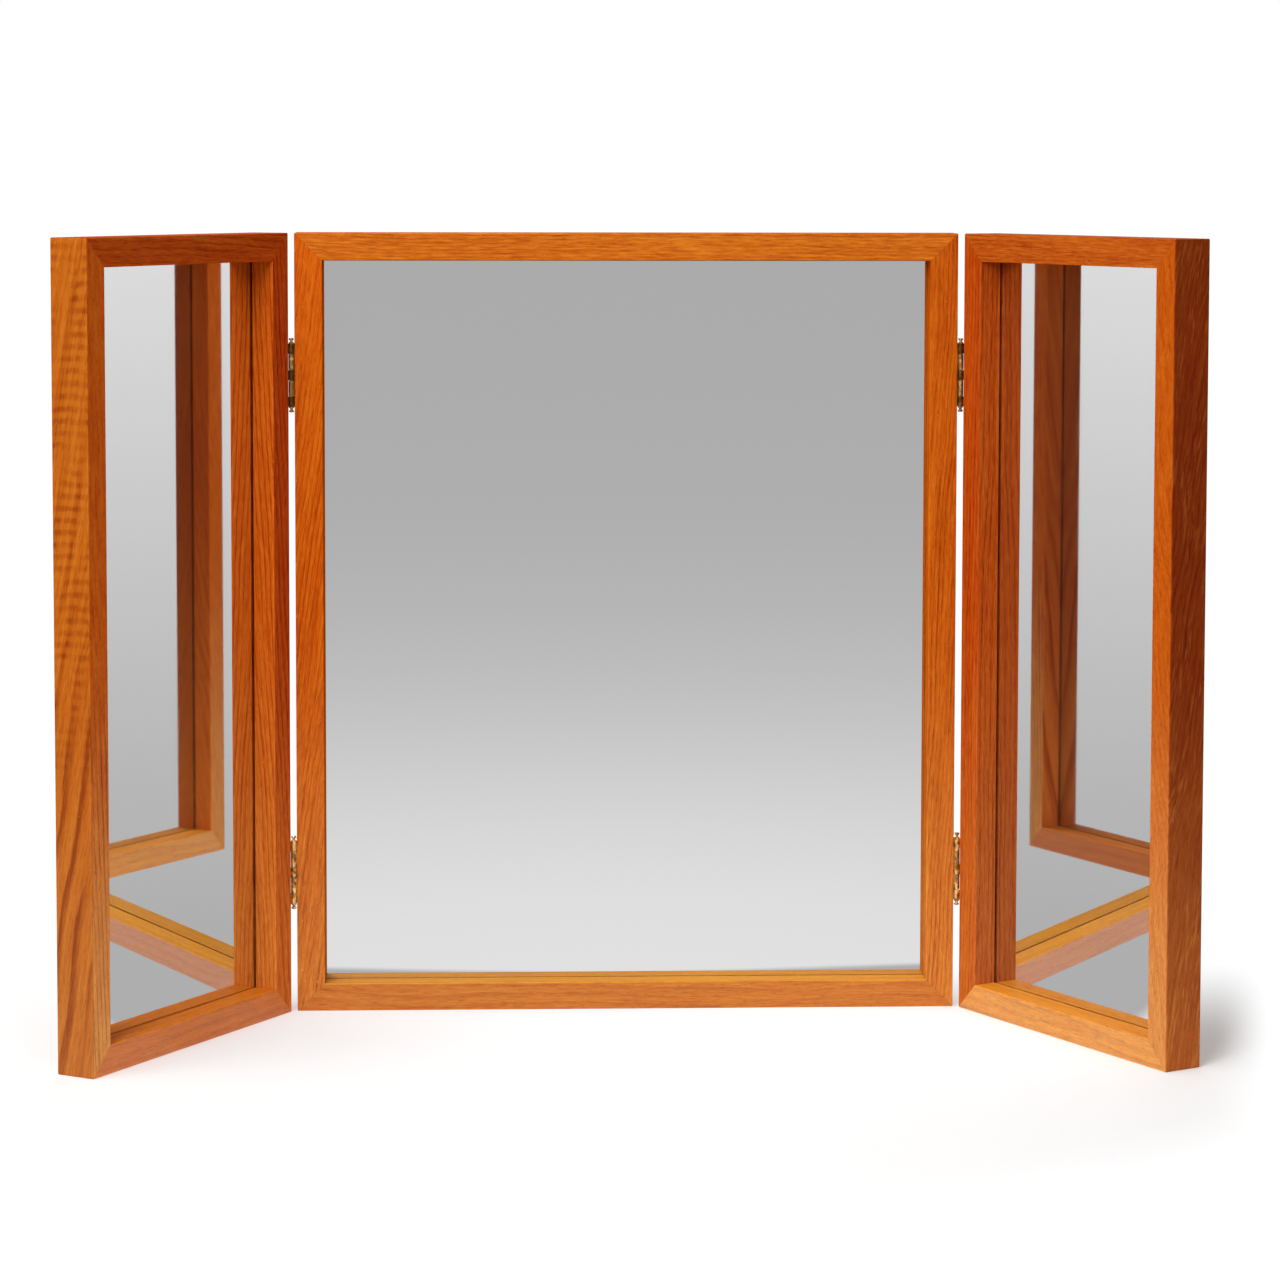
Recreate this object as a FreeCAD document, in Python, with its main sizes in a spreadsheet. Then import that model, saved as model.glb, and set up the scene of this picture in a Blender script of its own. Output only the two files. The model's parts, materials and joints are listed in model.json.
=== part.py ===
import FreeCAD, Part
import math
import os
import Sketcher

# A three-panel folding table mirror. Three mitred teak frames stand side by side on their bottom rails,
# each with a recessed mirror, and the two wings hang on brass butt hinges at the sides of the centre.
# Millimetres and degrees. +X is to the viewer's right, +Y to the back, +Z up, and the origin is the middle
# of the underside of the centre panel's bottom rail.

doc = FreeCAD.newDocument("folding_mirror")

# Driving dimensions.
SIZES = {
    # The three frames.
    "panel_height": 520,
    "center_width": 440,
    "meeting_gap": 1.5,
    "bar_width": 18.4,
    "reveal_depth": 16,
    "glass_rebate": 5,
    "panel_rebate": 7,
    "back_recess": 3.5,
    "corner_radius": 1,
    "edge_radius": 0.6,
    # What fills a frame from behind.
    "glass_thickness": 3,
    "glass_arris": 0.4,
    "card_thickness": 1,
    "back_thickness": 4,
    "pane_clearance": 0.6,
    # The loose tongue in each mitre.
    "spline_reach": 5,
    "spline_thickness": 3,
    "spline_cover": 1.4,
    "spline_clearance": 0.05,
    # The hinges: two leaves on a pin with a turned finial at each end.
    "hinge_inset": 94,
    "axis_forward": 0.8,
    "knuckle_radius": 1.9,
    "knuckle_clearance": 0.1,
    "short_knuckle": 6.9,
    "long_knuckle": 10.25,
    "knuckle_gap": 0.2,
    "leaf_thickness": 1.2,
    "leaf_reach": 14,
    "leaf_corner": 1,
    "pin_radius": 1,
    "pin_clearance": 0.04,
    "collar_radius": 1.7,
    "collar_height": 0.8,
    "neck_radius": 0.95,
    "neck_height": 1.3,
    "button_height": 1.5,
    "spigot_radius": 0.45,
    "spigot_length": 1.2,
    "spigot_clearance": 0.02,
    # The wood screws in the hinges and in the back panels.
    "hinge_screw_head": 4.4,
    "hinge_screw_shank": 2.4,
    "hinge_screw_length": 12,
    "hinge_screw_spacing": 14.5,
    "hinge_screw_row": 8.4,
    "hinge_screw_stagger": 1.5,
    "back_screw_head": 4,
    "back_screw_shank": 2.2,
    "back_screw_length": 10,
    "back_screw_inset": 38,
    "back_screw_edge": 3,
    "screw_point": 2.5,
    "screw_slot_width": 0.6,
    "screw_slot_depth": 0.5,
    "screw_clearance": 0.05,
    "pilot_extra": 0.3,
}

# How far each wing stands folded forward from flat, in degrees.
FOLDS = {
    "left_wing": 59,
    "right_wing": 61,
}

# How many screws hold a back panel along each bar.
CENTER_RAIL_SCREWS = 4
WING_RAIL_SCREWS = 3
STILE_SCREWS = 5

# Sizes that follow from the driving ones.
WORKED = {
    "wing_width": "(size.center_width - size.meeting_gap) / 2",
    # Depths behind a frame's front face.
    "card_front": "size.reveal_depth + size.glass_thickness",
    "ledge": "card_front + size.card_thickness",
    "back_face": "ledge + size.back_thickness",
    "frame_depth": "back_face + size.back_recess",
    # Distances in from a bar's outer edge.
    "glass_seat": "size.bar_width - size.glass_rebate",
    "panel_seat": "glass_seat - size.panel_rebate",
    "screw_line": "panel_seat + size.pane_clearance + size.back_screw_edge",
    "spline_length": "sqrt(2) * (size.bar_width - 2 * size.spline_cover) - 2 * size.spline_reach",
    # The pin's axis stands this far off the side faces that the leaves lie on.
    "axis_side": "size.knuckle_radius + size.knuckle_clearance",
    "axis_x": "size.center_width / 2 + axis_side",
    "axis_y": "-frame_depth / 2 - size.axis_forward",
    "leaf_face": "axis_side - size.leaf_thickness",
    "hinge_length": "3 * size.short_knuckle + 2 * size.long_knuckle + 4 * size.knuckle_gap",
    "hinge_height": "size.panel_height / 2 - size.hinge_inset",
}

# How far a cut runs past the piece that it cuts, and how near two places are one.
PAST = "1"
CLOSE = 1e-6


def fill_sheet(name, cells):
    """A sheet with a name in column A and its value, under that alias, in column B."""
    sheet = doc.addObject("Spreadsheet::Sheet", name)
    for row, (alias, content) in enumerate(cells.items(), start=1):
        sheet.set(f"A{row}", alias)
        sheet.set(f"B{row}", str(content))
        sheet.setAlias(f"B{row}", alias)
    doc.recompute()


fill_sheet("size", SIZES)
fill_sheet("fold", FOLDS)
fill_sheet("made", {alias: f"={formula}" for alias, formula in WORKED.items()})

sub_parts = []


# Sketches and features

def new_body(label, placement=None):
    """A piece of its own, put in place by an expression."""
    body = doc.addObject("PartDesign::Body", label)
    if placement:
        body.setExpression("Placement", placement)
        sub_parts.append(body)
    return body


def sketch_on(body, role, name, offset="0"):
    """A sketch parallel to one of the body's own origin planes, moved along that plane's normal."""
    plane = next(feature for feature in body.Origin.OriginFeatures if feature.Role == role)
    sketch = body.newObject("Sketcher::SketchObject", f"{body.Label}_{name}")
    sketch.AttachmentSupport = [(plane, "")]
    sketch.MapMode = "FlatFace"
    sketch.setExpression("AttachmentOffset.Base.z", offset)
    return sketch


def bind(sketch, constraint, expression):
    index = sketch.addConstraint(constraint)
    sketch.setExpression(f"Constraints[{index}]", expression)


def tie_point(sketch, curve, end, x, y):
    """Ties one point of a curve to two expressions, measured from the sketch's origin."""
    for kind, axis, expression in (("DistanceX", -2, x), ("DistanceY", -1, y)):
        if expression == "0":
            sketch.addConstraint(Sketcher.Constraint("PointOnObject", curve, end, axis))
        else:
            value = sketch.evalExpression(expression)
            bind(sketch, Sketcher.Constraint(kind, -1, 1, curve, end, value), expression)


def draw_outline(sketch, corners, rounded=()):
    """A closed outline through corners given as expressions, anticlockwise.
    The side that starts at a corner in rounded is a half circle that bulges outwards."""
    points = [FreeCAD.Vector(sketch.evalExpression(x), sketch.evalExpression(y), 0) for x, y in corners]
    sides = []
    for number, start in enumerate(points):
        end = points[(number + 1) % len(points)]
        curve = Part.LineSegment(start, end)
        if number in rounded:
            along = end - start
            bulge = FreeCAD.Vector(along.y, -along.x, 0) / 2
            curve = Part.Arc(start, (start + end) / 2 + bulge, end)
        sides.append(sketch.addGeometry(curve))
    for number, side in enumerate(sides):
        following = sides[(number + 1) % len(sides)]
        sketch.addConstraint(Sketcher.Constraint("Coincident", side, 2, following, 1))
        tie_point(sketch, side, 1, *corners[number])
        if number in rounded:
            value = sketch.evalExpression(corners[number][0])
            bind(sketch, Sketcher.Constraint("DistanceX", -1, 1, side, 3, value), corners[number][0])


def draw_rectangle(sketch, left, bottom, right, top):
    draw_outline(sketch, [(left, bottom), (right, bottom), (right, top), (left, top)])


def draw_circles(sketch, centers, radius):
    for x, y in centers:
        middle = FreeCAD.Vector(sketch.evalExpression(x), sketch.evalExpression(y), 0)
        value = sketch.evalExpression(radius)
        circle = sketch.addGeometry(Part.Circle(middle, FreeCAD.Vector(0, 0, 1), value))
        tie_point(sketch, circle, 3, x, y)
        bind(sketch, Sketcher.Constraint("Radius", circle, value), radius)


def pad(body, sketch, length, side="One side", backwards=False):
    feature = body.newObject("PartDesign::Pad", f"{sketch.Label}_pad")
    feature.Profile = sketch
    feature.SideType = side
    feature.Reversed = backwards
    feature.setExpression("Length", length)
    doc.recompute()
    return feature


def pocket(body, sketch, length=None, side="One side", backwards=False):
    """Cuts a sketch to a depth, or right through, and stops if it takes nothing away."""
    before = body.Shape.Volume
    feature = body.newObject("PartDesign::Pocket", f"{sketch.Label}_pocket")
    feature.Profile = sketch
    feature.SideType = side
    feature.Reversed = backwards
    if length is None:
        feature.Type = "ThroughAll"
    else:
        feature.setExpression("Length", length)
    doc.recompute()
    if not body.Shape.Volume < before:
        raise RuntimeError(f"{feature.Label} cuts nothing")
    return feature


def ease(body, kind, name, edge_test, size_name, expression):
    """Rounds or bevels the edges of the body's last shape that pass a test."""
    base = body.Tip
    chosen = [f"Edge{n}" for n, edge in enumerate(base.Shape.Edges, start=1) if edge_test(edge)]
    feature = body.newObject(f"PartDesign::{kind}", f"{body.Label}_{name}")
    feature.Base = (base, chosen)
    feature.setExpression(size_name, expression)
    doc.recompute()


def shift(x="0", y="0", z="0", axis="vector(0; 0; 1)", angle="0"):
    """A move to x, y, z with a turn about an axis, as an expression."""
    return f"placement(vector({x}; {y}; {z}); {axis}; {angle})"


def turn_y(angle):
    return shift(axis="vector(0; 1; 0)", angle=angle)


def turn_x(angle):
    return shift(axis="vector(1; 0; 0)", angle=angle)


def group_of(label, master, placements):
    """One node of like pieces: copies of a master, each in its own place."""
    copies = []
    for number, placement in enumerate(placements):
        copy = doc.addObject("App::Link", f"{label}_{number}")
        copy.LinkedObject = master
        copy.setExpression("Placement", placement)
        copies.append(copy)
    group = doc.addObject("Part::Compound", label)
    group.Links = copies
    sub_parts.append(group)


# Where each panel stands: the middle of its front face, for the centre and for the two folded wings.

def stand(name, placement):
    pose = doc.addObject("App::Placement", name)
    pose.setExpression("Placement", placement)
    return f"{name}.Placement"


center_pose = stand("center_pose", shift(y="-made.frame_depth / 2", z="size.panel_height / 2"))
left_axis = stand("left_axis", shift("-made.axis_x", "made.axis_y", angle="fold.left_wing"))
right_axis = stand("right_axis", shift("made.axis_x", "made.axis_y", angle="-fold.right_wing"))
wing_middle = "made.axis_side + made.wing_width / 2"
wing_place = ("size.axis_forward", "size.panel_height / 2")
left_pose = stand("left_pose", f"{left_axis} * {shift(f'-({wing_middle})', *wing_place)}")
right_pose = stand("right_pose", f"{right_axis} * {shift(wing_middle, *wing_place)}")
doc.recompute()


# Countersunk slotted wood screws: head up, point down, the top of the head at the origin.

def wood_screw(label, kind):
    head = f"size.{kind}_head / 2"
    shank = f"size.{kind}_shank / 2"
    neck = f"-(size.{kind}_head - size.{kind}_shank) / 2"
    point = f"-size.{kind}_length + size.screw_point"
    body = new_body(label)
    profile = sketch_on(body, "XZ_Plane", "profile")
    draw_outline(profile, [
        ("0", f"-size.{kind}_length"),
        (shank, point),
        (shank, neck),
        (head, "0"),
        ("0", "0"),
    ])
    turned = body.newObject("PartDesign::Revolution", f"{label}_turned")
    turned.Profile = profile
    turned.ReferenceAxis = (profile, ["V_Axis"])
    doc.recompute()
    slot = sketch_on(body, "XY_Plane", "slot")
    half_slot = "size.screw_slot_width / 2"
    draw_rectangle(slot, f"-({head} + {PAST})", f"-{half_slot}", f"{head} + {PAST}", half_slot)
    pocket(body, slot, "size.screw_slot_depth")
    return body


back_screw = wood_screw("back_screw", "back_screw")
hinge_screw = wood_screw("hinge_screw", "hinge_screw")


# A corner spline: a flat tongue with its length along the mitre and half its width in each bar.

corner_spline = new_body("corner_spline")
tongue = sketch_on(corner_spline, "XZ_Plane", "tongue")
half_tongue = "(made.spline_length / 2 - size.spline_clearance)"
tongue_reach = "(size.spline_reach - size.spline_clearance)"
draw_rectangle(tongue, f"-{half_tongue}", f"-{tongue_reach}", half_tongue, tongue_reach)
pad(corner_spline, tongue, "size.spline_thickness", side="Symmetric")


# Screw places, measured along a bar or a leaf from its middle.

def back_screw_places(length, count):
    step = f"(({length}) - 2 * size.back_screw_inset) / {count - 1}"
    return [f"({step}) * ({number} - {count - 1} / 2)" for number in range(count)]


def hinge_screw_places():
    """Three screws in each leaf, the middle one nearer to the pin, as (along the pin, behind the pin)."""
    outer_row = "size.hinge_screw_row + size.hinge_screw_stagger"
    return [
        ("-size.hinge_screw_spacing", outer_row),
        ("0", "size.hinge_screw_row - size.hinge_screw_stagger"),
        ("size.hinge_screw_spacing", outer_row),
    ]


# A frame bar lies along X with its outer edge down at Z = 0, its sight edge up and its front at Y = 0.

def draw_mitred_bar(sketch, length):
    """The bar's front outline: a trapezium whose two outer tips each carry half of a rounded frame corner."""
    half = sketch.evalExpression(f"({length}) / 2")
    wide = sketch.evalExpression("size.bar_width")
    rounding = sketch.evalExpression("size.corner_radius")
    tip = rounding * (1 - math.sqrt(0.5))

    def line(start_x, start_y, end_x, end_y):
        ends = FreeCAD.Vector(start_x, start_y, 0), FreeCAD.Vector(end_x, end_y, 0)
        return sketch.addGeometry(Part.LineSegment(*ends))

    def arc(middle_x, start_angle, end_angle):
        circle = Part.Circle(FreeCAD.Vector(middle_x, rounding, 0), FreeCAD.Vector(0, 0, 1), rounding)
        angles = math.radians(start_angle), math.radians(end_angle)
        return sketch.addGeometry(Part.ArcOfCircle(circle, *angles))

    outer = line(rounding - half, 0, half - rounding, 0)
    right_tip = arc(half - rounding, -90, -45)
    right_mitre = line(half - tip, tip, half - wide, wide)
    sight = line(half - wide, wide, wide - half, wide)
    left_mitre = line(wide - half, wide, tip - half, tip)
    left_tip = arc(rounding - half, -135, -90)
    for constraint in (
        ("Tangent", outer, 2, right_tip, 1),
        ("Coincident", right_tip, 2, right_mitre, 1),
        ("Coincident", right_mitre, 2, sight, 1),
        ("Coincident", sight, 2, left_mitre, 1),
        ("Coincident", left_mitre, 2, left_tip, 1),
        ("Tangent", left_tip, 2, outer, 1),
        ("PointOnObject", outer, 1, -1),
        ("Symmetric", outer, 1, outer, 2, -2),
        ("Equal", left_tip, right_tip),
        ("PointOnObject", right_tip, 3, right_mitre),
        ("PointOnObject", left_tip, 3, left_mitre),
        ("Angle", right_mitre, math.radians(135)),
    ):
        sketch.addConstraint(Sketcher.Constraint(*constraint))
    bind(sketch, Sketcher.Constraint("Radius", right_tip, rounding), "size.corner_radius")
    tie_point(sketch, sight, 1, f"({length}) / 2 - size.bar_width", "size.bar_width")
    tie_point(sketch, sight, 2, f"size.bar_width - ({length}) / 2", "size.bar_width")


def spline_slot_corners(length, side):
    """The slot for a spline, square to the mitre, at one end of a bar."""
    middle_x = f"(({length}) / 2 - size.bar_width / 2)"
    corners = []
    for along, across in ((-1, -1), (1, -1), (1, 1), (-1, 1)):
        up = f"{along} * made.spline_length / 2"
        out = f"{across} * size.spline_reach"
        x = f"{side} * ({middle_x} + sqrt(0.5) * ({out} - {up}))"
        y = f"size.bar_width / 2 + sqrt(0.5) * ({up} + {out})"
        corners.append((x, y))
    return corners


def frame_bar(label, pose, length, turn, reach, screw_count, hinged=False):
    """One bar of a panel. turn swings it about the panel's middle, and reach is how far out its edge lies."""
    body = new_body(label, f"{pose} * {turn_y(turn)} * {shift(z=f'-({reach})')}")
    front = sketch_on(body, "XZ_Plane", "front")
    draw_mitred_bar(front, length)
    pad(body, front, "made.frame_depth", backwards=True)

    rebate = sketch_on(body, "YZ_Plane", "rebate")
    draw_outline(rebate, [
        ("size.reveal_depth", "made.glass_seat"),
        ("made.ledge", "made.glass_seat"),
        ("made.ledge", "made.panel_seat"),
        ("made.frame_depth", "made.panel_seat"),
        ("made.frame_depth", "size.bar_width"),
        ("size.reveal_depth", "size.bar_width"),
    ])
    pocket(body, rebate, side="Symmetric")

    depth = rebate.evalExpression("made.frame_depth")
    narrow = rebate.evalExpression("made.panel_seat / 2")

    def handled_edge(edge):
        """Edges that a hand meets: along the front face and along the rear outer corner, not the mitres."""
        box = edge.BoundBox
        at_front = box.YMax < CLOSE
        at_rear = box.YMin > depth - CLOSE and box.ZMax < narrow
        return box.ZLength < narrow and (at_front or at_rear)

    ease(body, "Fillet", "eased", handled_edge, "Radius", "size.edge_radius")

    slot_front = "size.reveal_depth / 2 - size.spline_thickness / 2 - size.spline_clearance"
    for side in (-1, 1):
        slot = sketch_on(body, "XZ_Plane", f"slot_{side + 1}", f"-({slot_front})")
        draw_outline(slot, spline_slot_corners(length, side))
        pocket(body, slot, "size.spline_thickness + 2 * size.spline_clearance")

    pilots = sketch_on(body, "XZ_Plane", "back_pilots", "-made.ledge")
    places = [(place, "made.screw_line") for place in back_screw_places(length, screw_count)]
    draw_circles(pilots, places, "size.back_screw_shank / 2 + size.screw_clearance")
    pocket(body, pilots, "size.back_screw_length - size.back_thickness + size.pilot_extra", backwards=True)

    if hinged:
        holes = sketch_on(body, "XY_Plane", "hinge_pilots")
        places = []
        for level in ("made.hinge_height", "-made.hinge_height"):
            for along, behind in hinge_screw_places():
                places.append((f"{level} + {along}", f"{behind} - size.axis_forward"))
        draw_circles(holes, places, "size.hinge_screw_shank / 2 + size.screw_clearance")
        pilot_depth = "size.hinge_screw_length - size.leaf_thickness + size.pilot_extra"
        pocket(body, holes, pilot_depth, backwards=True)


# What lies behind the frame: the mirror, its backing card and the back panel, each a sheet in its rebate.

def sheet_of(label, pose, width, seat, front, thickness):
    """A sheet centred in the frame, short of the rebate's walls by the pane clearance."""
    body = new_body(label, pose)
    outline = sketch_on(body, "XZ_Plane", "outline", f"-({front})")
    half_width = f"(({width}) / 2 - {seat} - size.pane_clearance)"
    half_height = f"(size.panel_height / 2 - {seat} - size.pane_clearance)"
    draw_rectangle(outline, f"-{half_width}", f"-{half_height}", half_width, half_height)
    pad(body, outline, thickness, backwards=True)
    return body


def back_screw_spots(width, rail_screws):
    """Every back screw of a panel, as (across, up) from the panel's middle."""
    up = "(size.panel_height / 2 - made.screw_line)"
    across = f"(({width}) / 2 - made.screw_line)"
    spots = []
    for sign in ("", "-"):
        rail_places = back_screw_places(width, rail_screws)
        stile_places = back_screw_places("size.panel_height", STILE_SCREWS)
        spots += [(place, f"{sign}{up}") for place in rail_places]
        spots += [(f"{sign}{across}", place) for place in stile_places]
    return spots


def countersink(body, sketch, kind, backwards):
    """Countersunk clearance holes for one kind of screw, at the sketch's circles."""
    hole = body.newObject("PartDesign::Hole", f"{sketch.Label}_holes")
    hole.Profile = sketch
    doc.recompute()
    before = hole.BaseFeature.Shape.Volume
    hole.DepthType = "ThroughAll"
    hole.setExpression("Diameter", f"size.{kind}_shank + 2 * size.screw_clearance")
    hole.HoleCutType = "Countersink"
    hole.HoleCutCustomValues = True
    hole.setExpression("HoleCutDiameter", f"size.{kind}_head + 2 * size.screw_clearance")
    hole.HoleCutCountersinkAngle = 90
    hole.Reversed = backwards
    doc.recompute()
    if not body.Shape.Volume < before:
        raise RuntimeError(f"{hole.Label} cuts nothing")


def panel(name, pose, width, stiles, hinged, rail_screws):
    """A whole panel: four bars, four splines, the mirror, its card, and the screwed back."""
    height = "size.panel_height"
    half_height = "size.panel_height / 2"
    half_width = f"({width}) / 2"
    frame_bar(f"{name}_bottom_rail", pose, width, "0", half_height, rail_screws)
    frame_bar(f"{name}_top_rail", pose, width, "180", half_height, rail_screws)
    for stile, turn in zip(stiles, ("90", "270")):
        frame_bar(f"{name}_{stile}", pose, height, turn, half_width, STILE_SCREWS, stile in hinged)

    corners = []
    for right in (-1, 1):
        for top in (-1, 1):
            x = f"{right} * (({width}) / 2 - size.bar_width / 2)"
            z = f"{top} * (size.panel_height / 2 - size.bar_width / 2)"
            lean = turn_y(str(-45 * right * top))
            corners.append(f"{pose} * {shift(x, 'size.reveal_depth / 2', z)} * {lean}")
    group_of(f"{name}_corner_splines", corner_spline, corners)

    glass_place = ("made.glass_seat", "size.reveal_depth", "size.glass_thickness")
    glass = sheet_of(f"{name}_mirror", pose, width, *glass_place)
    ease(glass, "Chamfer", "arris", lambda edge: True, "Size", "size.glass_arris")
    sheet_of(f"{name}_backing_card", pose, width, "made.glass_seat", "made.card_front", "size.card_thickness")
    back = sheet_of(f"{name}_back_panel", pose, width, "made.panel_seat", "made.ledge", "size.back_thickness")
    spots = back_screw_spots(width, rail_screws)
    holes = sketch_on(back, "XZ_Plane", "screw_holes", "-made.back_face")
    draw_circles(holes, spots, "size.back_screw_shank / 2 + size.screw_clearance")
    countersink(back, holes, "back_screw", backwards=True)
    screws = [f"{pose} * {shift(x, 'made.back_face', z)} * {turn_x('-90')}" for x, z in spots]
    group_of(f"{name}_back_screws", back_screw, screws)


center_stiles = ("left_stile", "right_stile")
left_wing_stiles = ("outer_stile", "hinge_stile")
right_wing_stiles = ("hinge_stile", "outer_stile")
hinge_stile = ("hinge_stile",)
panel("center", center_pose, "size.center_width", center_stiles, center_stiles, CENTER_RAIL_SCREWS)
panel("left_wing", left_pose, "made.wing_width", left_wing_stiles, hinge_stile, WING_RAIL_SCREWS)
panel("right_wing", right_pose, "made.wing_width", right_wing_stiles, hinge_stile, WING_RAIL_SCREWS)


# The butt hinges. A leaf stands on the pin's axis at mid height, with its plate on the +X side, running back.

def knuckle_spans():
    """Bottom and top of the five knuckles, up the pin: short ones on the wing, long ones on the centre."""
    spans = []
    bottom = "-made.hinge_length / 2"
    for number in range(5):
        length = "size.long_knuckle" if number % 2 else "size.short_knuckle"
        top = f"{bottom} + {length}"
        spans.append((bottom, top))
        bottom = f"{top} + size.knuckle_gap"
    return spans


def hinge_leaf(label, placement, own_knuckles):
    """A leaf with its plate flat on the wood, notched where the other leaf's knuckles turn."""
    body = new_body(label, placement)
    plate = sketch_on(body, "XY_Plane", "plate")
    draw_rectangle(plate, "made.leaf_face", "0", "made.axis_side", "size.leaf_reach")
    pad(body, plate, "made.hinge_length", side="Symmetric")
    barrel = sketch_on(body, "XY_Plane", "barrel")
    draw_circles(barrel, [("0", "0")], "size.knuckle_radius")
    pad(body, barrel, "made.hinge_length", side="Symmetric")

    notch = sketch_on(body, "XZ_Plane", "notch", "-made.axis_side")
    spans = knuckle_spans()
    for number, (bottom, top) in enumerate(spans):
        if number in own_knuckles:
            continue
        low = f"{bottom} - {PAST}" if number == 0 else f"{bottom} - size.knuckle_gap"
        high = f"{top} + {PAST}" if number == len(spans) - 1 else f"{top} + size.knuckle_gap"
        draw_rectangle(notch, f"-size.knuckle_radius - {PAST}", low, f"made.axis_side + {PAST}", high)
    pocket(body, notch, backwards=True)

    bore = sketch_on(body, "XY_Plane", "bore")
    draw_circles(bore, [("0", "0")], "size.pin_radius + size.pin_clearance")
    pocket(body, bore, side="Symmetric")

    reach = bore.evalExpression("size.leaf_reach")

    def rear_corner(edge):
        return edge.BoundBox.YMin > reach - CLOSE and edge.BoundBox.XLength > CLOSE

    ease(body, "Fillet", "corners", rear_corner, "Radius", "size.leaf_corner")

    holes = sketch_on(body, "YZ_Plane", "screw_holes", "made.leaf_face")
    places = [(behind, along) for along, behind in hinge_screw_places()]
    draw_circles(holes, places, "size.hinge_screw_shank / 2 + size.screw_clearance")
    countersink(body, holes, "hinge_screw", backwards=True)


def finial_corners(base):
    """A turned finial that stands on a height: a collar, a thinner neck and a round-edged button."""
    collar = f"{base} + size.collar_height"
    neck = f"{collar} + size.neck_height"
    button = f"{neck} + size.button_height"
    return [
        ("size.collar_radius", base),
        ("size.collar_radius", collar),
        ("size.neck_radius", collar),
        ("size.neck_radius", neck),
        ("size.neck_radius", button),
        ("0", button),
    ]


def turn_profile(body, corners, rounded):
    profile = sketch_on(body, "XZ_Plane", "profile")
    draw_outline(profile, corners, rounded)
    turned = body.newObject("PartDesign::Revolution", f"{body.Label}_turned")
    turned.Profile = profile
    turned.ReferenceAxis = (profile, ["V_Axis"])
    doc.recompute()


def hinge_pin(label, placement):
    """The pin through all five knuckles, with its upper finial and a spigot for the lower one."""
    body = new_body(label, placement)
    low = "-made.hinge_length / 2"
    shaft = [
        ("0", f"{low} - size.spigot_length"),
        ("size.spigot_radius", f"{low} - size.spigot_length"),
        ("size.spigot_radius", low),
        ("size.pin_radius", low),
        ("size.pin_radius", "made.hinge_length / 2"),
    ]
    turn_profile(body, shaft + finial_corners("made.hinge_length / 2"), rounded=(len(shaft) + 3,))


def pin_tip(label, placement):
    """The lower finial, with a socket for the pin's spigot."""
    body = new_body(label, placement)
    socket = "size.spigot_radius + size.spigot_clearance"
    depth = "size.spigot_length + size.spigot_clearance"
    corners = [("0", depth), (socket, depth), (socket, "0")]
    turn_profile(body, corners + finial_corners("0"), rounded=(len(corners) + 3,))


def hinge(name, side_axis, side_place, level, center_turn, wing_turn):
    """One hinge: its centre leaf stays with the centre panel, the rest turns with the wing."""
    height = f"size.panel_height / 2 + {level}"
    fixed = shift(side_place, "made.axis_y", height)
    swung = f"{side_axis} * {shift(z=height)}"
    hinge_leaf(f"{name}_center_leaf", f"{fixed} * {turn_y(center_turn)}", (1, 3))
    hinge_leaf(f"{name}_wing_leaf", f"{swung} * {turn_y(wing_turn)}", (0, 2, 4))
    hinge_pin(f"{name}_pin", swung)
    pin_tip(f"{name}_pin_tip", f"{swung} * {shift(z='-made.hinge_length / 2')} * {turn_x('180')}")


for side, axis, place, center_turn, wing_turn in (
    ("left", left_axis, "-made.axis_x", "0", "180"),
    ("right", right_axis, "made.axis_x", "180", "0"),
):
    for level_name, level in (("upper", "made.hinge_height"), ("lower", "-made.hinge_height")):
        hinge(f"{side}_{level_name}_hinge", axis, place, level, center_turn, wing_turn)
    for leaf in ("center", "wing"):
        screws = []
        for level_name in ("upper", "lower"):
            for along, behind in hinge_screw_places():
                seat = shift("made.leaf_face", behind, along, "vector(0; 1; 0)", "-90")
                screws.append(f"{side}_{level_name}_hinge_{leaf}_leaf.Placement * {seat}")
        group_of(f"{side}_hinge_{leaf}_screws", hinge_screw, screws)

doc.recompute()


# Every object has to be sound before anything is written.

for thing in doc.Objects:
    if "Invalid" in thing.State or "Error" in thing.State:
        raise RuntimeError(f"{thing.Label} failed: {thing.State}")
for piece in sub_parts:
    if piece.Shape.isNull() or not piece.Shape.isValid():
        raise RuntimeError(f"{piece.Label} has no sound shape")

os.makedirs("parts", exist_ok=True)
for piece in sub_parts:
    piece.Shape.exportStep(f"parts/{piece.Label}.step")
print(len(sub_parts), "sub-parts written")
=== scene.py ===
import json
import math

import bmesh
import bpy
from mathutils import Matrix, Vector


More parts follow.
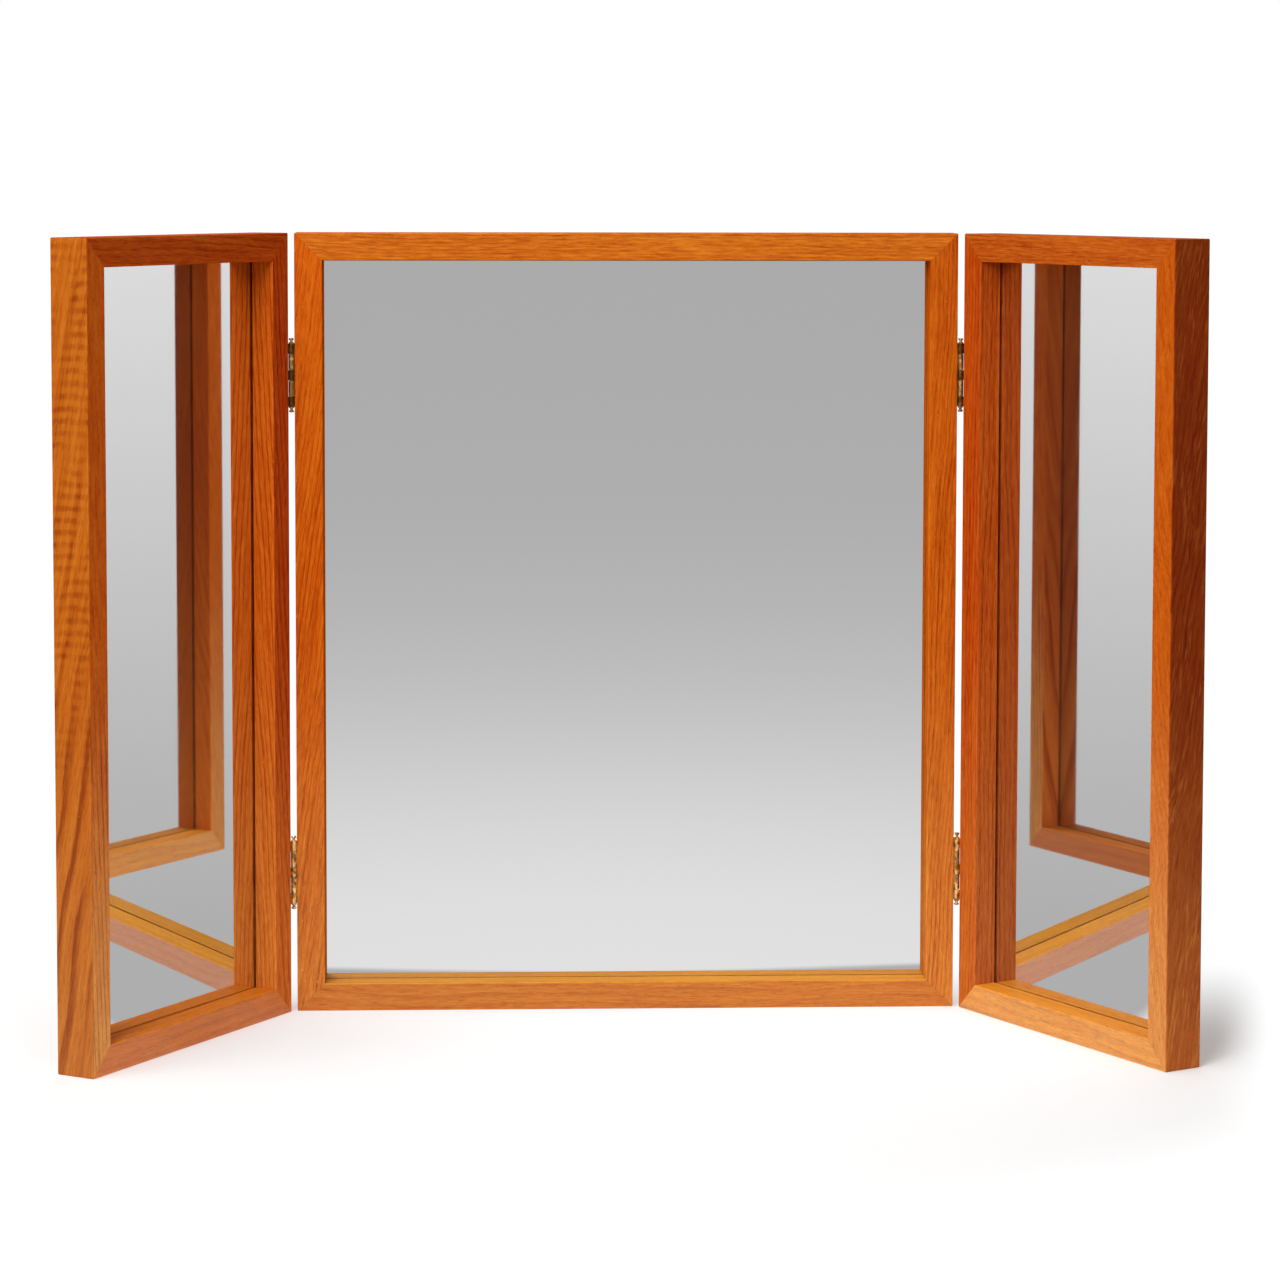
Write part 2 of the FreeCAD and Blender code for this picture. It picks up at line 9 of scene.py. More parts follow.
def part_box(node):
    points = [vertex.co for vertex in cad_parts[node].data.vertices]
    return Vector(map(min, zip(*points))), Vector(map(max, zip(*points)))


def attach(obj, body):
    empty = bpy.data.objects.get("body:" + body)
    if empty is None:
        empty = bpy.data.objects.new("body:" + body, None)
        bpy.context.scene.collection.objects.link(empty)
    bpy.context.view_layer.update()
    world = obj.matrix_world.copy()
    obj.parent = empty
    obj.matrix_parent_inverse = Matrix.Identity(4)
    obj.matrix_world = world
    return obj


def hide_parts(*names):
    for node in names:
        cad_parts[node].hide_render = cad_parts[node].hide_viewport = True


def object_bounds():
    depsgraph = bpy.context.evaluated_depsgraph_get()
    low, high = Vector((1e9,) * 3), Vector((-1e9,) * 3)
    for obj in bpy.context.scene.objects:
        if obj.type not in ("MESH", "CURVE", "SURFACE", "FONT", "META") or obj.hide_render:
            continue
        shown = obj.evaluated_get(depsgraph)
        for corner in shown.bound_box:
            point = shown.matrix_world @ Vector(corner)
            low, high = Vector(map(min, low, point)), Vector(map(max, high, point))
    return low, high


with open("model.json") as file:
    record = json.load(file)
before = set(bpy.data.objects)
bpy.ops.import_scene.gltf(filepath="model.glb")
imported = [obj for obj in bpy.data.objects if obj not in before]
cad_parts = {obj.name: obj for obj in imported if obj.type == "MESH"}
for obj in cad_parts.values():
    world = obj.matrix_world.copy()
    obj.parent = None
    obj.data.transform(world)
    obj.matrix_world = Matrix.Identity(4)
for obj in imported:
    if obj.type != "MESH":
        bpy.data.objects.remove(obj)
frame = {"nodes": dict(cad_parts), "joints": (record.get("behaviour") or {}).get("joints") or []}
cad_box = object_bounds()


# The three frames: mitred bars of solid teak, oiled by hand, with a fine straight grain and eased edges.
# The centre stands square to the viewer and the two wings are turned forward about their hinge pins.
# Each bar was sawn from its own stretch of board, so its tone, grain slope and figure are its own.
MM = 0.001
nodes = frame["nodes"]
joints = {joint["child"]: joint for joint in frame["joints"]}
panel_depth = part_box("center_bottom_rail")[1].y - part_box("center_bottom_rail")[0].y
panel_height = cad_box[1].z - cad_box[0].z
bar_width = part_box("center_bottom_rail")[1].z
center_width = 2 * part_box("center_right_stile")[1].x
wing_meeting_gap = 1.5 * MM
wing_width = (center_width - wing_meeting_gap) / 2


def wing_stand(body, side):
    """Where a folded wing's front face has its foot: its hinge axis, its fold, then half its width."""
    joint = joints[body]
    fold = math.radians(-joint["range_deg"][0]) * joint["axis"][2]
    pin = Vector(joint["pos_m"])
    pin.z = 0
    off_side = abs(pin.x) - center_width / 2 + wing_width / 2
    off_front = -panel_depth / 2 - pin.y
    turn = Matrix.Rotation(fold, 4, "Z")
    return Matrix.Translation(pin) @ turn @ Matrix.Translation((side * off_side, off_front, 0))


# Each panel's body, its own frame and its width. In that frame x runs across from the panel's middle,
# y back from its front face and z up from its foot.
panels = {
    "center": ("center_panel", Matrix.Translation((0, -panel_depth / 2, 0)), center_width),
    "left_wing": ("left_wing", wing_stand("left_wing", -1), wing_width),
    "right_wing": ("right_wing", wing_stand("right_wing", 1), wing_width),
}


class Wire:
    """An output socket in a node tree. Arithmetic on wires adds Math nodes."""

    def __init__(self, tree, socket=None):
        self.tree = tree
        self.socket = socket

    def make(self, kind, settings=None, inputs=None, output=0):
        """Adds a node, sets its settings, then its inputs to values or wires, and gives one output."""
        node = self.tree.nodes.new("ShaderNode" + kind)
        for name, value in (settings or {}).items():
            if name == "stops":
                stops = node.color_ramp.elements
                while len(stops) < len(value):
                    stops.new(1)
                for stop, (place, level) in zip(stops, value):
                    stop.position = place
                    stop.color = (level, level, level, 1)
            else:
                setattr(node, name, value)
        for name, value in (inputs or {}).items():
            if isinstance(value, Wire):
                self.tree.links.new(value.socket, node.inputs[name])
            else:
                node.inputs[name].default_value = value
        return Wire(self.tree, node.outputs[output] if node.outputs else None)

    def math(self, operation, first, second=0.0, third=0.0):
        return self.make("Math", {"operation": operation}, {0: first, 1: second, 2: third})

    def __add__(self, other):
        return self.math("ADD", self, other)

    __radd__ = __add__

    def __sub__(self, other):
        return self.math("SUBTRACT", self, other)

    def __rsub__(self, other):
        return self.math("SUBTRACT", other, self)

    def __mul__(self, other):
        return self.math("MULTIPLY", self, other)

    __rmul__ = __mul__

    def __truediv__(self, other):
        return self.math("DIVIDE", self, other)

    def __rtruediv__(self, other):
        return self.math("DIVIDE", other, self)

    def __pow__(self, power):
        return self.math("POWER", self, power)

    def __abs__(self):
        return self.math("ABSOLUTE", self)

    def rise(self, low, high):
        """0 at low and 1 at high, smooth between and level beyond."""
        limits = {"Value": self, "From Min": low, "From Max": high}
        return self.make("MapRange", {"interpolation_type": "SMOOTHSTEP"}, limits)

    def blend(self, low, high):
        """The colour low where this wire is 0 and high where it is 1."""
        return self.make("Mix", {"data_type": "RGBA"}, {0: self, 6: low, 7: high}, output=2)

    def shade(self, colour):
        """A colour scaled by this wire."""
        return self.make("VectorMath", {"operation": "SCALE"}, {0: colour, "Scale": self})

    def axis(self, name):
        """The X, Y or Z of this point."""
        return self.make("SeparateXYZ", None, {0: self}, output=name)

    def moved(self, step):
        """This point, moved by a step."""
        return self.make("VectorMath", {"operation": "ADD"}, {0: self, 1: step})

    def grain(self, x, y, z, detail=2.0):
        """Soft noise from 0 to 1 over this point, with a feature about every x, y and z of its units."""
        stretched = self.make("VectorMath", {"operation": "MULTIPLY"}, {0: self, 1: (1 / x, 1 / y, 1 / z)})
        return self.make("TexNoise", None, {"Vector": stretched, "Scale": 1.0, "Detail": detail})


def rgb(red, green, blue, strength=1.0):
    """A colour named from 0 to 255 as the eye sees it, as the linear one that the shader takes."""
    levels = [level / 255 for level in (red, green, blue)]
    linear = [v / 12.92 if v <= 0.04045 else ((v + 0.055) / 1.055) ** 2.4 for v in levels]
    return (*[strength * v for v in linear], 1)


def finish(name):
    """A new material, its Principled shader and a bare wire to make nodes with."""
    material = bpy.data.materials.new(name)
    material.use_nodes = True
    return material, material.node_tree.nodes["Principled BSDF"], Wire(material.node_tree)


def feed(shader, **inputs):
    """Sets a shader's sockets to values, or links wires to them."""
    for name, value in inputs.items():
        socket = shader.inputs[name.replace("_", " ")]
        if isinstance(value, Wire):
            value.tree.links.new(value.socket, socket)
        else:
            socket.default_value = value


def local_point(bare, place):
    """Points of a piece in its own frame, in millimetres, whatever way the piece stands."""
    where = {
        "Vector": bare.make("TexCoord", output="Object"),
        "Location": place.to_translation(),
        "Rotation": place.to_euler(),
        "Scale": (MM, MM, MM),
    }
    return bare.make("Mapping", {"vector_type": "TEXTURE"}, where)


def dress(node, material):
    """Gives a carried-over piece its material."""
    mesh = nodes[node].data
    mesh.materials.clear()
    mesh.materials.append(material)


next_board = (613.0, 37.0, 53.0)
teak_growth = [(0.0, 0.85), (0.08, 0.08), (0.6, 0.15), (0.93, 1.0)]


def teak_figure(point, height, outer_side, board):
    """A bar's figure, from 0 for red-brown wood to 1 for golden, with its fibres and its open pores."""
    # The tree's heart lay some way off the bar and the grain slopes and wanders along it, so the rings,
    # the fibres, the pores and the broad colour streaks are all measured from there.
    x, y, z = [point.axis(letter) for letter in "XYZ"]
    start = [board["cut"] * step for step in next_board]
    log = point.moved(start)
    wander = board["wander"] * (log.grain(140, 60, 60, 1.0) - 0.5)
    from_heart_y = y + board["heart"][0] + board["slope"][0] * x + wander
    from_heart_z = z + board["heart"][1] + board["slope"][1] * x + wander
    along = point.make("CombineXYZ", None, {0: x + start[0], 1: from_heart_y, 2: from_heart_z})
    fibre = along.grain(11, 0.9, 0.9, 3.0)
    pores = along.grain(5, 0.7, 0.7, 1.0).rise(0.58, 0.70)
    streak = along.grain(150, 4, 4, 2.0)
    figure = 0.54 + board["fibre"] * (fibre - 0.5) + board["streaks"] * (streak - 0.5)

    # A year's growth is pale at first and darkens to a thin line. Some stretches show their rings more.
    radius = (from_heart_y * from_heart_y + from_heart_z * from_heart_z) ** 0.5
    year = point.math("FRACT", (radius + 1.6 * along.grain(60, 7, 7, 2.0)) / board["rings"])
    latewood = point.make("ValToRGB", {"stops": teak_growth}, {0: year})
    clear = board["clear"] * height.rise(0.35, 0.6)
    ring_depth = along.grain(160, 10, 10, 1.0).rise(0.2, 0.6) * (1 - clear)
    figure = figure - board["contrast"] * (latewood * ring_depth - 0.2)

    # An outer side may have a quilted figure, soft brown spots in rows across it that fade towards the
    # foot, or short pale flames. Here and there is a pale nick.
    zone = along.grain(45, 14, 14, 1.0).rise(0.3, 0.65) * outer_side
    rows = point.math("SINE", 0.82 * x + 6 * along.grain(50, 25, 25, 1.0)).rise(-0.8, 1.0)
    spots = along.grain(6, 6, 6, 1.0).rise(0.3, 0.7)
    quilt = rows * (0.4 + 0.6 * spots) * zone * height.rise(0.3, 0.5)
    flames = along.grain(16, 1.8, 1.8, 2.0).rise(0.5, 0.7) * zone
    nicks = log.grain(1.8, 1.2, 1.2, 0.0).rise(0.83, 0.87)
    return figure - board["quilt"] * quilt + board["flames"] * flames + nicks, fibre, pores


as_sawn = (0, 0, 0)
towards_red = (-40, -32, -10)
towards_gold = (22, 28, 14)


def teak_colour(figure, height, outer_side, inner_side, board):
    """A bar's colour. Its face, outer side and inner side are cuts through the log with tones of their own,
    which are paler at the foot and deeper at the head as painted light from the white table below, and the
    figure takes each from red-brown to golden."""
    def painted_table_light_drift(cut, shifts):
        foot, head = [
            rgb(*[max(level + shift, 2) for level, shift in zip(end, shifts)])
            for end in board[cut]
        ]
        # The paler foot is painted light: the white table's bounce light and sheen, painted into the tone.
        return height.rise(-0.1, 0.55).blend(foot, head)

    red, tone, gold = [
        inner_side.blend(
            outer_side.blend(painted_table_light_drift("face", shifts), painted_table_light_drift("side", shifts)),
            painted_table_light_drift("inner", shifts),
        )
        for shifts in (towards_red, as_sawn, towards_gold)
    ]
    return (2 * figure - 1).blend((2 * figure).blend(red, tone), gold)


def teak(name, place, half_length, board):
    """Oiled teak along a bar's own x, with y its depth behind the front and z in from its outer edge."""
    material, shader, bare = finish(name)
    point = local_point(bare, place)
    x, y, z = [point.axis(letter) for letter in "XYZ"]
    height = bare.make("TexCoord", output="Object").axis("Z") / panel_height
    sight = bar_width / MM - z
    outer_side = 1 - z.rise(0.3, 0.9)
    inner_side = 1 - sight.rise(0.3, 0.9)
    figure, fibre, pores = teak_figure(point, height, outer_side, board)
    wood = teak_colour(figure, height, outer_side, inner_side, board)

    # Outer and sight edges carry painted highlights, paler as if catching the light, and the glue line of a
    # mitre is a thin dark seam.
    seam = 1 - (half_length / MM - abs(x) - z).rise(0.05, 0.4)
    outer_edge_highlight = 1 - (y * y + z * z).rise(0.2, 1.2)
    sight_edge_painted_light = 1 - (y * y + sight * sight).rise(0.2, 1.2)
    # A board's arris sets its sight edge's painted light: a painted highlight above zero, a painted shadow
    # line below zero.
    light = (1 - 0.2 * pores) * (1 - 0.12 * seam) * (1 + 0.12 * outer_edge_highlight + board["arris"] * sight_edge_painted_light)
    relief = fibre - 0.7 * pores - 0.8 * seam
    normal = bare.make("Bump", None, {"Strength": 0.22, "Distance": 0.12 * MM, "Height": relief})
    feed(shader, Base_Color=light.shade(wood), Roughness=0.44 + 0.16 * fibre + 0.12 * pores, Normal=normal)

    # A bottom rail is waxed and shines when seen at a slant. The other bars have only a trace of oil.
    feed(shader, Specular_IOR_Level=0.0, Coat_Roughness=0.4)
    if board["wax"]:
        slant = bare.make("LayerWeight", None, {"Blend": 0.5}, output="Facing").rise(0.3, 0.55)
        feed(shader, Coat_Weight=board["wax"] * slant * (1 - 0.85 * inner_side), Coat_IOR=2.4)
    else:
        feed(shader, Coat_Weight=0.08 * (1 - inner_side), Coat_IOR=1.5)
    return material


def sawn_board(cut, face, heart, slope, **own):
    """A bar's board: which cut it is, its colours at foot and head, where the tree's heart lay, in mm
    behind its front and outside its outer edge, how the grain slopes off those two ways, and its figure."""
    usual = {
        "side": face, "inner": face, "rings": 3.0, "contrast": 0.25, "wander": 6.0, "fibre": 0.8,
        "streaks": 0.6, "quilt": 0.0, "flames": 0.0, "clear": 0.0, "arris": 0.12, "wax": 0.0,
    }
    return {"cut": cut, "face": face, "heart": heart, "slope": slope, **usual, **own}


def even(*tone):
    """One tone from foot to head."""
    return (tone, tone)


# Each tone pair runs from foot to head, and the paler foot is painted light from the white table.
boards = {
    "center_bottom_rail": sawn_board(
        1, even(202, 118, 55), (200, 90), (0.010, 0.004), inner=even(215, 140, 34),
        contrast=0.2, fibre=0.9, wax=1.0),
    # Its arris below zero darkens the sight edge: a painted shadow line under the top rail.
    "center_top_rail": sawn_board(
        2, even(204, 103, 22), (90, 180), (0.004, 0.010),
        rings=2.2, contrast=0.3, fibre=1.6, arris=-0.3),
    "center_left_stile": sawn_board(
        3, ((210, 124, 54), (202, 87, 6)), (80, 200), (0.02, 0.14),
        contrast=0.4, fibre=1.2, streaks=0.8),
    "center_right_stile": sawn_board(
        4, ((213, 128, 54), (191, 85, 10)), (80, 200), (0.02, 0.05),
        rings=2.8, contrast=0.5, wander=12.0, fibre=1.2, streaks=0.8),
    "left_wing_bottom_rail": sawn_board(
        5, even(230, 121, 30), (200, 90), (0.006, 0.006), inner=even(224, 122, 30),
        contrast=0.2, fibre=0.9, wax=0.75),
    "left_wing_top_rail": sawn_board(
        6, even(190, 72, 12), (90, 150), (0.02, 0.03),
        rings=4.0, contrast=0.35, fibre=1.2),
    "left_wing_outer_stile": sawn_board(
        7, ((248, 168, 91), (203, 85, 13)), (200, 600), (-0.18, 0.0),
        side=((181, 102, 45), (181, 90, 19)), inner=((235, 125, 45), (190, 82, 20)),
        rings=4.1, contrast=0.65, streaks=0.9, quilt=0.4, clear=0.7),
    "left_wing_hinge_stile": sawn_board(
        8, ((229, 123, 49), (190, 69, 12)), (200, 120), (-0.08, 0.03),
        inner=((212, 120, 48), (201, 87, 18)), contrast=0.5, fibre=1.2),
    "right_wing_bottom_rail": sawn_board(
        9, even(223, 145, 63), (200, 90), (0.008, 0.006), inner=even(214, 131, 34),
        contrast=0.2, fibre=0.9, wax=1.0),
    "right_wing_top_rail": sawn_board(
        10, even(184, 82, 17), (90, 180), (0.003, 0.006),
        rings=2.4, contrast=0.3, fibre=1.4),
    "right_wing_outer_stile": sawn_board(
        11, ((219, 145, 78), (189, 83, 9)), (400, 300), (-0.2, 0.0),
        side=((196, 103, 46), (139, 49, 11)), inner=((226, 120, 42), (181, 77, 18)),
        rings=4.0, contrast=0.2, wander=24.0, fibre=0.9, flames=0.8),
    "right_wing_hinge_stile": sawn_board(
        12, ((197, 102, 37), (180, 68, 8)), (150, 150), (0.01, 0.01),
        inner=((186, 99, 48), (178, 74, 19)), rings=2.8, contrast=0.35, fibre=1.3),
}
panel_bars = {
    "center": (("bottom_rail", 0), ("top_rail", 180), ("left_stile", 90), ("right_stile", 270)),
    "left_wing": (("bottom_rail", 0), ("top_rail", 180), ("outer_stile", 90), ("hinge_stile", 270)),
    "right_wing": (("bottom_rail", 0), ("top_rail", 180), ("hinge_stile", 90), ("outer_stile", 270)),
}
for panel, (body, stand, width) in panels.items():
    middle = stand @ Matrix.Translation((0, 0, panel_height / 2))
    for bar, turn in panel_bars[panel]:
        length, reach = (width, panel_height / 2) if "rail" in bar else (panel_height, width / 2)
        place = middle @ Matrix.Rotation(math.radians(turn), 4, "Y") @ Matrix.Translation((0, 0, -reach))
        node = f"{panel}_{bar}"
        dress(node, teak(f"teak_{node}", place, length / 2, boards[node]))


# The corner splines: loose tongues of bare beech, glued across each mitre and hidden in it.
# They are planed square and show only the pale flecked wood.
beech_pale = rgb(222, 190, 150)
beech_fleck = rgb(196, 156, 112)


def bare_beech():
    """Planed beech, pale with short brown flecks."""
    material, shader, bare = finish("bare_beech")
    point = local_point(bare, Matrix.Identity(4))
    fleck = point.grain(1.2, 1.2, 5.0, 2.0).rise(0.3, 0.7)
    feed(shader, Base_Color=fleck.blend(beech_pale, beech_fleck), Roughness=0.6)
    return material


beech = bare_beech()
for panel in panels:
    dress(f"{panel}_corner_splines", beech)


# The mirrors: 3 mm float glass silvered behind, lying in the rebate of each frame. The sheet made here is
# the silver, which is what is seen. It lies a little behind the wood of the lip, so a thin dark line parts
# the two, and it is bevelled at its arris.
reveal_depth = 16 * MM
silver_depth = 1.1 * MM
glass_thickness = 3 * MM
glass_hold = 4.4 * MM
arris = 0.4 * MM
silver_grey = (0.74, 0.74, 0.74, 1)
speck_grey = (0.45, 0.44, 0.42, 1)
dust = 0.004


def bevelled_sheet(name, width, height, thickness, bevel):
    """A flat sheet with bevelled arrises, its front face on y = 0 and its middle at the origin."""
    mesh = bpy.data.meshes.new(name)
    form = bmesh.new()
    bmesh.ops.create_cube(form, size=1)
    bmesh.ops.scale(form, vec=(width, thickness, height), verts=form.verts)
    bmesh.ops.translate(form, vec=(0, thickness / 2, 0), verts=form.verts)
    bmesh.ops.bevel(form, geom=form.edges[:], offset=bevel, segments=2, profile=0.5, affect="EDGES")
    form.to_mesh(mesh)
    form.free()
    sheet = bpy.data.objects.new(name, mesh)
    bpy.context.scene.collection.objects.link(sheet)
    return sheet


def silvered_glass():
    """Silver behind glass, with faint wiping marks, a few specks and a trace of dust."""
    material, shader, bare = finish("silvered_glass")
    point = local_point(bare, Matrix.Identity(4))
    wiping = point.grain(45, 45, 120, 3.0).rise(0.45, 0.8)
    specks = point.grain(1.1, 1.1, 1.1, 1.0).rise(0.77, 0.82)
    feed(shader, Base_Color=(0.3 * specks).blend(silver_grey, speck_grey), Metallic=1 - dust)
    feed(shader, Roughness=0.012 + 0.012 * wiping + 0.05 * specks)
    return material


silver = silvered_glass()
for panel, (body, stand, width) in panels.items():
    pane_width = width - 2 * bar_width + 2 * glass_hold
    pane_height = panel_height - 2 * bar_width + 2 * glass_hold
    pane = bevelled_sheet(f"{panel}_silver", pane_width, pane_height, glass_thickness - silver_depth, arris)
    pane.data.transform(stand @ Matrix.Translation((0, reveal_depth + silver_depth, panel_height / 2)))
    pane.data.materials.append(silver)
    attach(pane, body)
    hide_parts(f"{panel}_mirror")


# The backing cards: grey-brown pulp board, cut to the glass, which keeps the silver off the back panel.
# They are pressed between glass and panel and have short matted fibres.
card_dark = rgb(140, 124, 100)
card_pale = rgb(178, 160, 134)


def pulp_card():
    """Matted pulp, mottled from dark to pale."""
    material, shader, bare = finish("pulp_card")
    pulp = local_point(bare, Matrix.Identity(4)).grain(1.5, 1.5, 0.8, 4.0)
    feed(shader, Base_Color=pulp.blend(card_dark, card_pale), Roughness=0.9)
    return material


card = pulp_card()
for panel in panels:
    dress(f"{panel}_backing_card", card)


# The back panels: 4 mm plywood faced with flat-sawn teak veneer, oiled, let in behind each frame.
# Each is held by brass screws round its edge, and the veneer has an arched figure.
veneer_tone = (168, 92, 40)
veneer_ring = 8.5
veneer_growth = [(0.0, 0.7), (0.12, 0.1), (0.6, 0.3), (0.92, 1.0)]
next_leaf = (211.0, 0.0, 97.0)


def veneer(name, place, cut):
    """Flat-sawn teak veneer in a panel's own frame, x across and z up from its middle."""
    material, shader, bare = finish(name)
    point = local_point(bare, place)
    log = point.moved([cut * step for step in next_leaf])
    x = point.axis("X")
    z = point.axis("Z")
    wander = log.grain(90, 90, 320, 2.0) - 0.5
    arch = ((x + 60 * wander) ** 2 + (z / 9 + 30) ** 2) ** 0.5
    year = bare.math("FRACT", (arch + 5 * log.grain(12, 40, 160, 2.0)) / veneer_ring)
    latewood = bare.make("ValToRGB", {"stops": veneer_growth}, {0: year})
    fibre = log.grain(0.6, 4, 30, 3.0)
    pores = log.grain(0.45, 4, 7, 1.0).rise(0.60, 0.72)
    streak = log.grain(16, 60, 260, 3.0)
    wood = (0.6 * latewood).blend(rgb(*veneer_tone, 1.12), rgb(*veneer_tone, 0.55))
    light = (1 + 0.3 * (fibre - 0.5) + 0.6 * (streak - 0.5)) * (1 - 0.3 * pores)
    relief = fibre - 0.7 * pores
    normal = bare.make("Bump", None, {"Strength": 0.2, "Distance": 0.12 * MM, "Height": relief})
    feed(shader, Base_Color=light.shade(wood), Roughness=0.46 + 0.14 * fibre, Normal=normal)
    return material


for cut, (panel, (body, stand, width)) in enumerate(panels.items()):
    middle = stand @ Matrix.Translation((0, 0, panel_height / 2))
    dress(f"{panel}_back_panel", veneer(f"veneer_{panel}", middle, cut))


# The hinges and every screw: drawn and turned brass, dulled brown with age, and darker on the upper hinges
# by painted shade.
# Leaves lie on the side faces of the stiles, held by three countersunk screws each, and turn on pins with
# a finial at each end.
def brass(name, bright, dull):
    """Drawn brass with brown tarnish in patches, fine lines along the drawing, and painted shade that
    darkens it higher up.
    """
    material, shader, bare = finish(name)
    point = local_point(bare, Matrix.Identity(4))
    # Higher up the brass is dulled further: painted shade, for upper hinges that mirror the dim room.
    upper = point.axis("Z").rise(200, 300)
    tarnish_and_painted_shade = (point.grain(2.6, 2.6, 3.4, 4.0) + 0.12 * upper).rise(0.36, 0.64)
    drawn = point.grain(0.25, 0.25, 4.0, 2.0)
    tone = (0.85 + 0.3 * drawn).shade(tarnish_and_painted_shade.blend(bright, dull))
    normal = bare.make("Bump", None, {"Strength": 0.15, "Distance": 0.05 * MM, "Height": drawn + tarnish_and_painted_shade})
    feed(shader, Metallic=1.0, Base_Color=tone, Roughness=0.22 + 0.22 * tarnish_and_painted_shade, Normal=normal)
    return material


rubbed_brass = brass("rubbed_brass", bright=rgb(250, 212, 138), dull=rgb(136, 100, 56))
shaded_brown_brass = brass("shaded_brown_brass", bright=rgb(178, 130, 72), dull=rgb(82, 58, 32))
# The upper hinges' wing leaves take the darker brass as painted shade. The other leaves, pins and screws
# take the bright one.
for node in nodes:
    if node.endswith("_upper_hinge_wing_leaf"):
        dress(node, shaded_brown_brass)
    elif node.endswith(("_leaf", "_pin", "_pin_tip", "_screws")):
        dress(node, rubbed_brass)


# The table top and the room: white paper lit with the object, which keeps the object's soft shadow.
# The lens sees it bleached to white away from that shadow. The mirrors see it grey further off, and what
# is mirrored twice, in a wing and then in the centre or the other wing, comes from the bright side.
floor_reach = 40.0
corners = [(-1, -1), (1, -1), (1, 1), (-1, 1)]
mesh = bpy.data.meshes.new("table_top")
mesh.from_pydata([(floor_reach * x, floor_reach * y, 0) for x, y in corners], [], [(0, 1, 2, 3)])
table_top = bpy.data.objects.new("table_top", mesh)
bpy.context.scene.collection.objects.link(table_top)

paper = 0.80
paper_fade = 2.2
bleached = 1.03
shadow_depth = 0.88
shadow_sides = (0.40, 0.443)
shadow_slant = 0.2
shadow_back = (-0.13, 0.16)
shadow_reach = (0.2, 0.3)
room = 0.548
sky = 0.29
once_bright = 0.472
once_fade = 1.37
foot_shade = 0.44
foot_line = (-0.105, -0.085)
foot_spread = 0.028
foot_spread_end = 0.3
twice_bright = 1.34
twice_dim = 0.60
twice_fade = 3.5
thrice_gain = 0.36
white = (1, 1, 1)


def studio_path(bare):
    """Which light path a ray is on: seen by the lens, mirrored, and mirrored more than once or twice."""
    direct = bare.make("LightPath", output="Is Camera Ray")
    through = bare.make("LightPath", output="Is Transmission Ray")
    mirrored = bare.make("LightPath", output="Is Glossy Ray")
    bounces = bare.make("LightPath", output="Glossy Depth")
    twice = bare.math("GREATER_THAN", bounces, 1.5)
    thrice = bare.math("GREATER_THAN", bounces, 2.5)
    return direct + through, mirrored, twice, thrice


def shadow_share(off_x, off_y, away):
    """How far the lens sees the paper's own shade: only about the object's foot, where its shadow falls."""
    beside_it = (abs(off_x) - shadow_slant * off_y).rise(*shadow_sides)
    behind_it = off_y.rise(*shadow_back)
    return shadow_depth * (1 - beside_it) * (1 - behind_it) * (1 - away.rise(*shadow_reach))


def mirrored_level(off_x, off_y, away, twice, thrice):
    """What the mirrors see of the paper, which is shaded at the panels' feet and greys with distance."""
    foot = (off_y + foot_spread * abs(off_x).rise(0.0, foot_spread_end)).rise(*foot_line)
    once_level = (room + once_bright / (1 + (away / once_fade) ** 1.15)) * (1 - foot_shade * foot)
    twice_level = (twice_bright - twice_dim / (1 + away ** 0.5 / twice_fade)) * (1 + thrice_gain * thrice)
    return once_level + twice * (twice_level - once_level)


def white_paper():
    """White paper. How far off a point lies is taken as the square of its distance from the object."""
    material = bpy.data.materials.new("white_paper")
    material.use_nodes = True
    material.node_tree.nodes.clear()
    bare = Wire(material.node_tree)
    seen, mirrored, twice, thrice = studio_path(bare)
    position = bare.make("NewGeometry", output="Position")
    off_x = position.axis("X")
    off_y = position.axis("Y")
    away = off_x * off_x + off_y * off_y
    shadowed = shadow_share(off_x, off_y, away)
    albedo = seen * shadowed + (1 - seen - mirrored) * paper / (1 + away / paper_fade)
    lift = seen * (bleached - shadowed) + mirrored * mirrored_level(off_x, off_y, away, twice, thrice)
    diffuse = bare.make("BsdfDiffuse", None, {"Color": albedo.shade(white)})
    glow = bare.make("Emission", None, {"Color": lift.shade(white), "Strength": 1.0})
    bare.make("OutputMaterial", None, {"Surface": bare.make("AddShader", None, {0: diffuse, 1: glow})})
    return material


mesh.materials.append(white_paper())

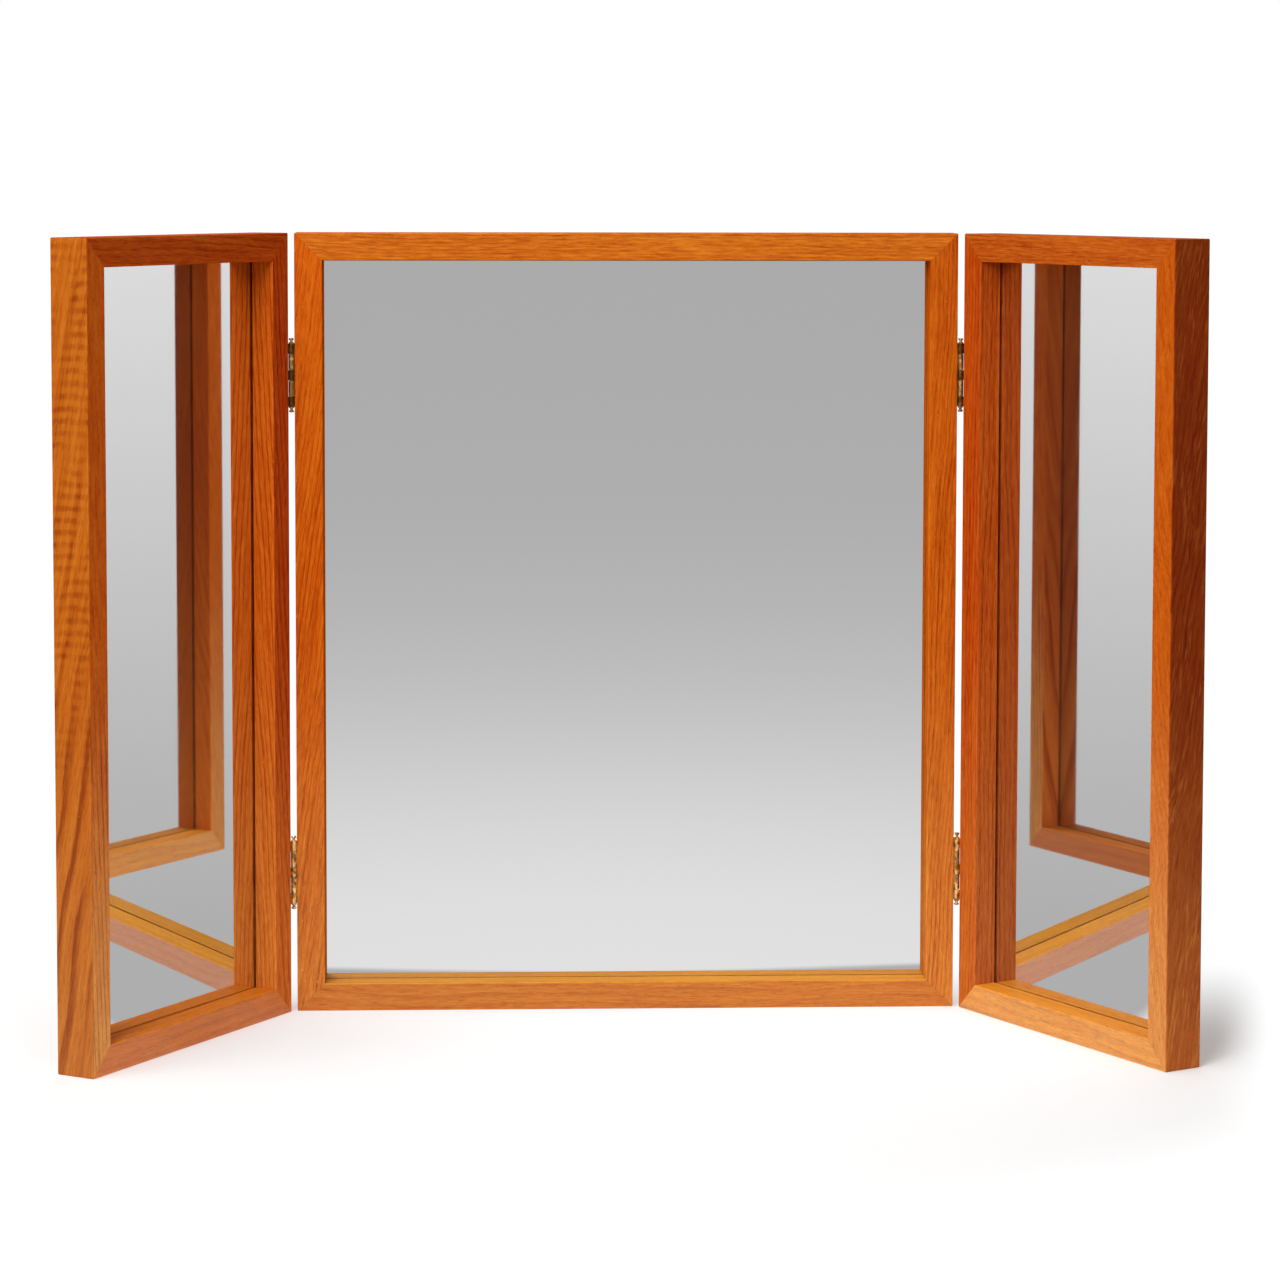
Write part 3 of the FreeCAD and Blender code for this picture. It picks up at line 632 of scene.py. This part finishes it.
world = bpy.data.worlds.new("studio")
world.use_nodes = True
world.node_tree.nodes.clear()
bpy.context.scene.world = world
bare = Wire(world.node_tree)
seen, mirrored, twice, thrice = studio_path(bare)
far_level = room + twice * (twice_bright * (1 + thrice_gain * thrice) - room)
level = sky + seen * (1 - sky) + mirrored * (far_level - sky)
backdrop = bare.make("Background", None, {"Color": level.shade(white), "Strength": 1.0})
bare.make("OutputWorld", None, {"Surface": backdrop})


# The lamps: a large soft box to the left, in front and above, so the left wing's edge and the right wing's
# face are the bright ones, and a softer one overhead that lights the table top and the bottom rails.
# A weak one stands low behind, for the backs of the panels.
def soft_box(name, place, aim, size, watts):
    """A square area lamp that faces a point."""
    lamp = bpy.data.lights.new(name, "AREA")
    lamp.shape = "SQUARE"
    lamp.size = size
    lamp.energy = watts
    box = bpy.data.objects.new(name, lamp)
    box.location = place
    box.rotation_euler = (Vector(aim) - Vector(place)).to_track_quat("-Z", "Y").to_euler()
    bpy.context.scene.collection.objects.link(box)


soft_box("side_lamp", place=(-1.27, -2.72, 1.7), aim=(0, 0, 0.25), size=1.4, watts=60)
soft_box("top_lamp", place=(-0.9, -0.9, 2.2), aim=(0, -0.1, 0), size=1.6, watts=26)
soft_box("back_lamp", place=(0.3, 2.5, 0.9), aim=(0, 0, 0.25), size=1.6, watts=20)


# The camera: a long lens a little left of the middle, just above the frames, looking slightly down at them.
# Its film is shifted, as on a view camera, so that the uprights stay nearly upright.
lens = bpy.data.cameras.new("camera")
lens.sensor_width = 36
lens.lens = 107.864
lens.shift_y = -0.15
lens.clip_end = 200
camera = bpy.data.objects.new("camera", lens)
camera.location = (-0.0940, -2.5525, 0.5636)
down, aside, roll = [math.radians(angle) for angle in (4.191, 2.315, 0.1)]
facing = Matrix.Rotation(-aside, 3, "Z") @ Matrix.Rotation(math.pi / 2 - down, 3, "X")
camera.rotation_euler = (facing @ Matrix.Rotation(roll, 3, "Z")).to_euler()
bpy.context.scene.collection.objects.link(camera)
bpy.context.scene.camera = camera
bpy.context.scene.view_settings.view_transform = "Standard"
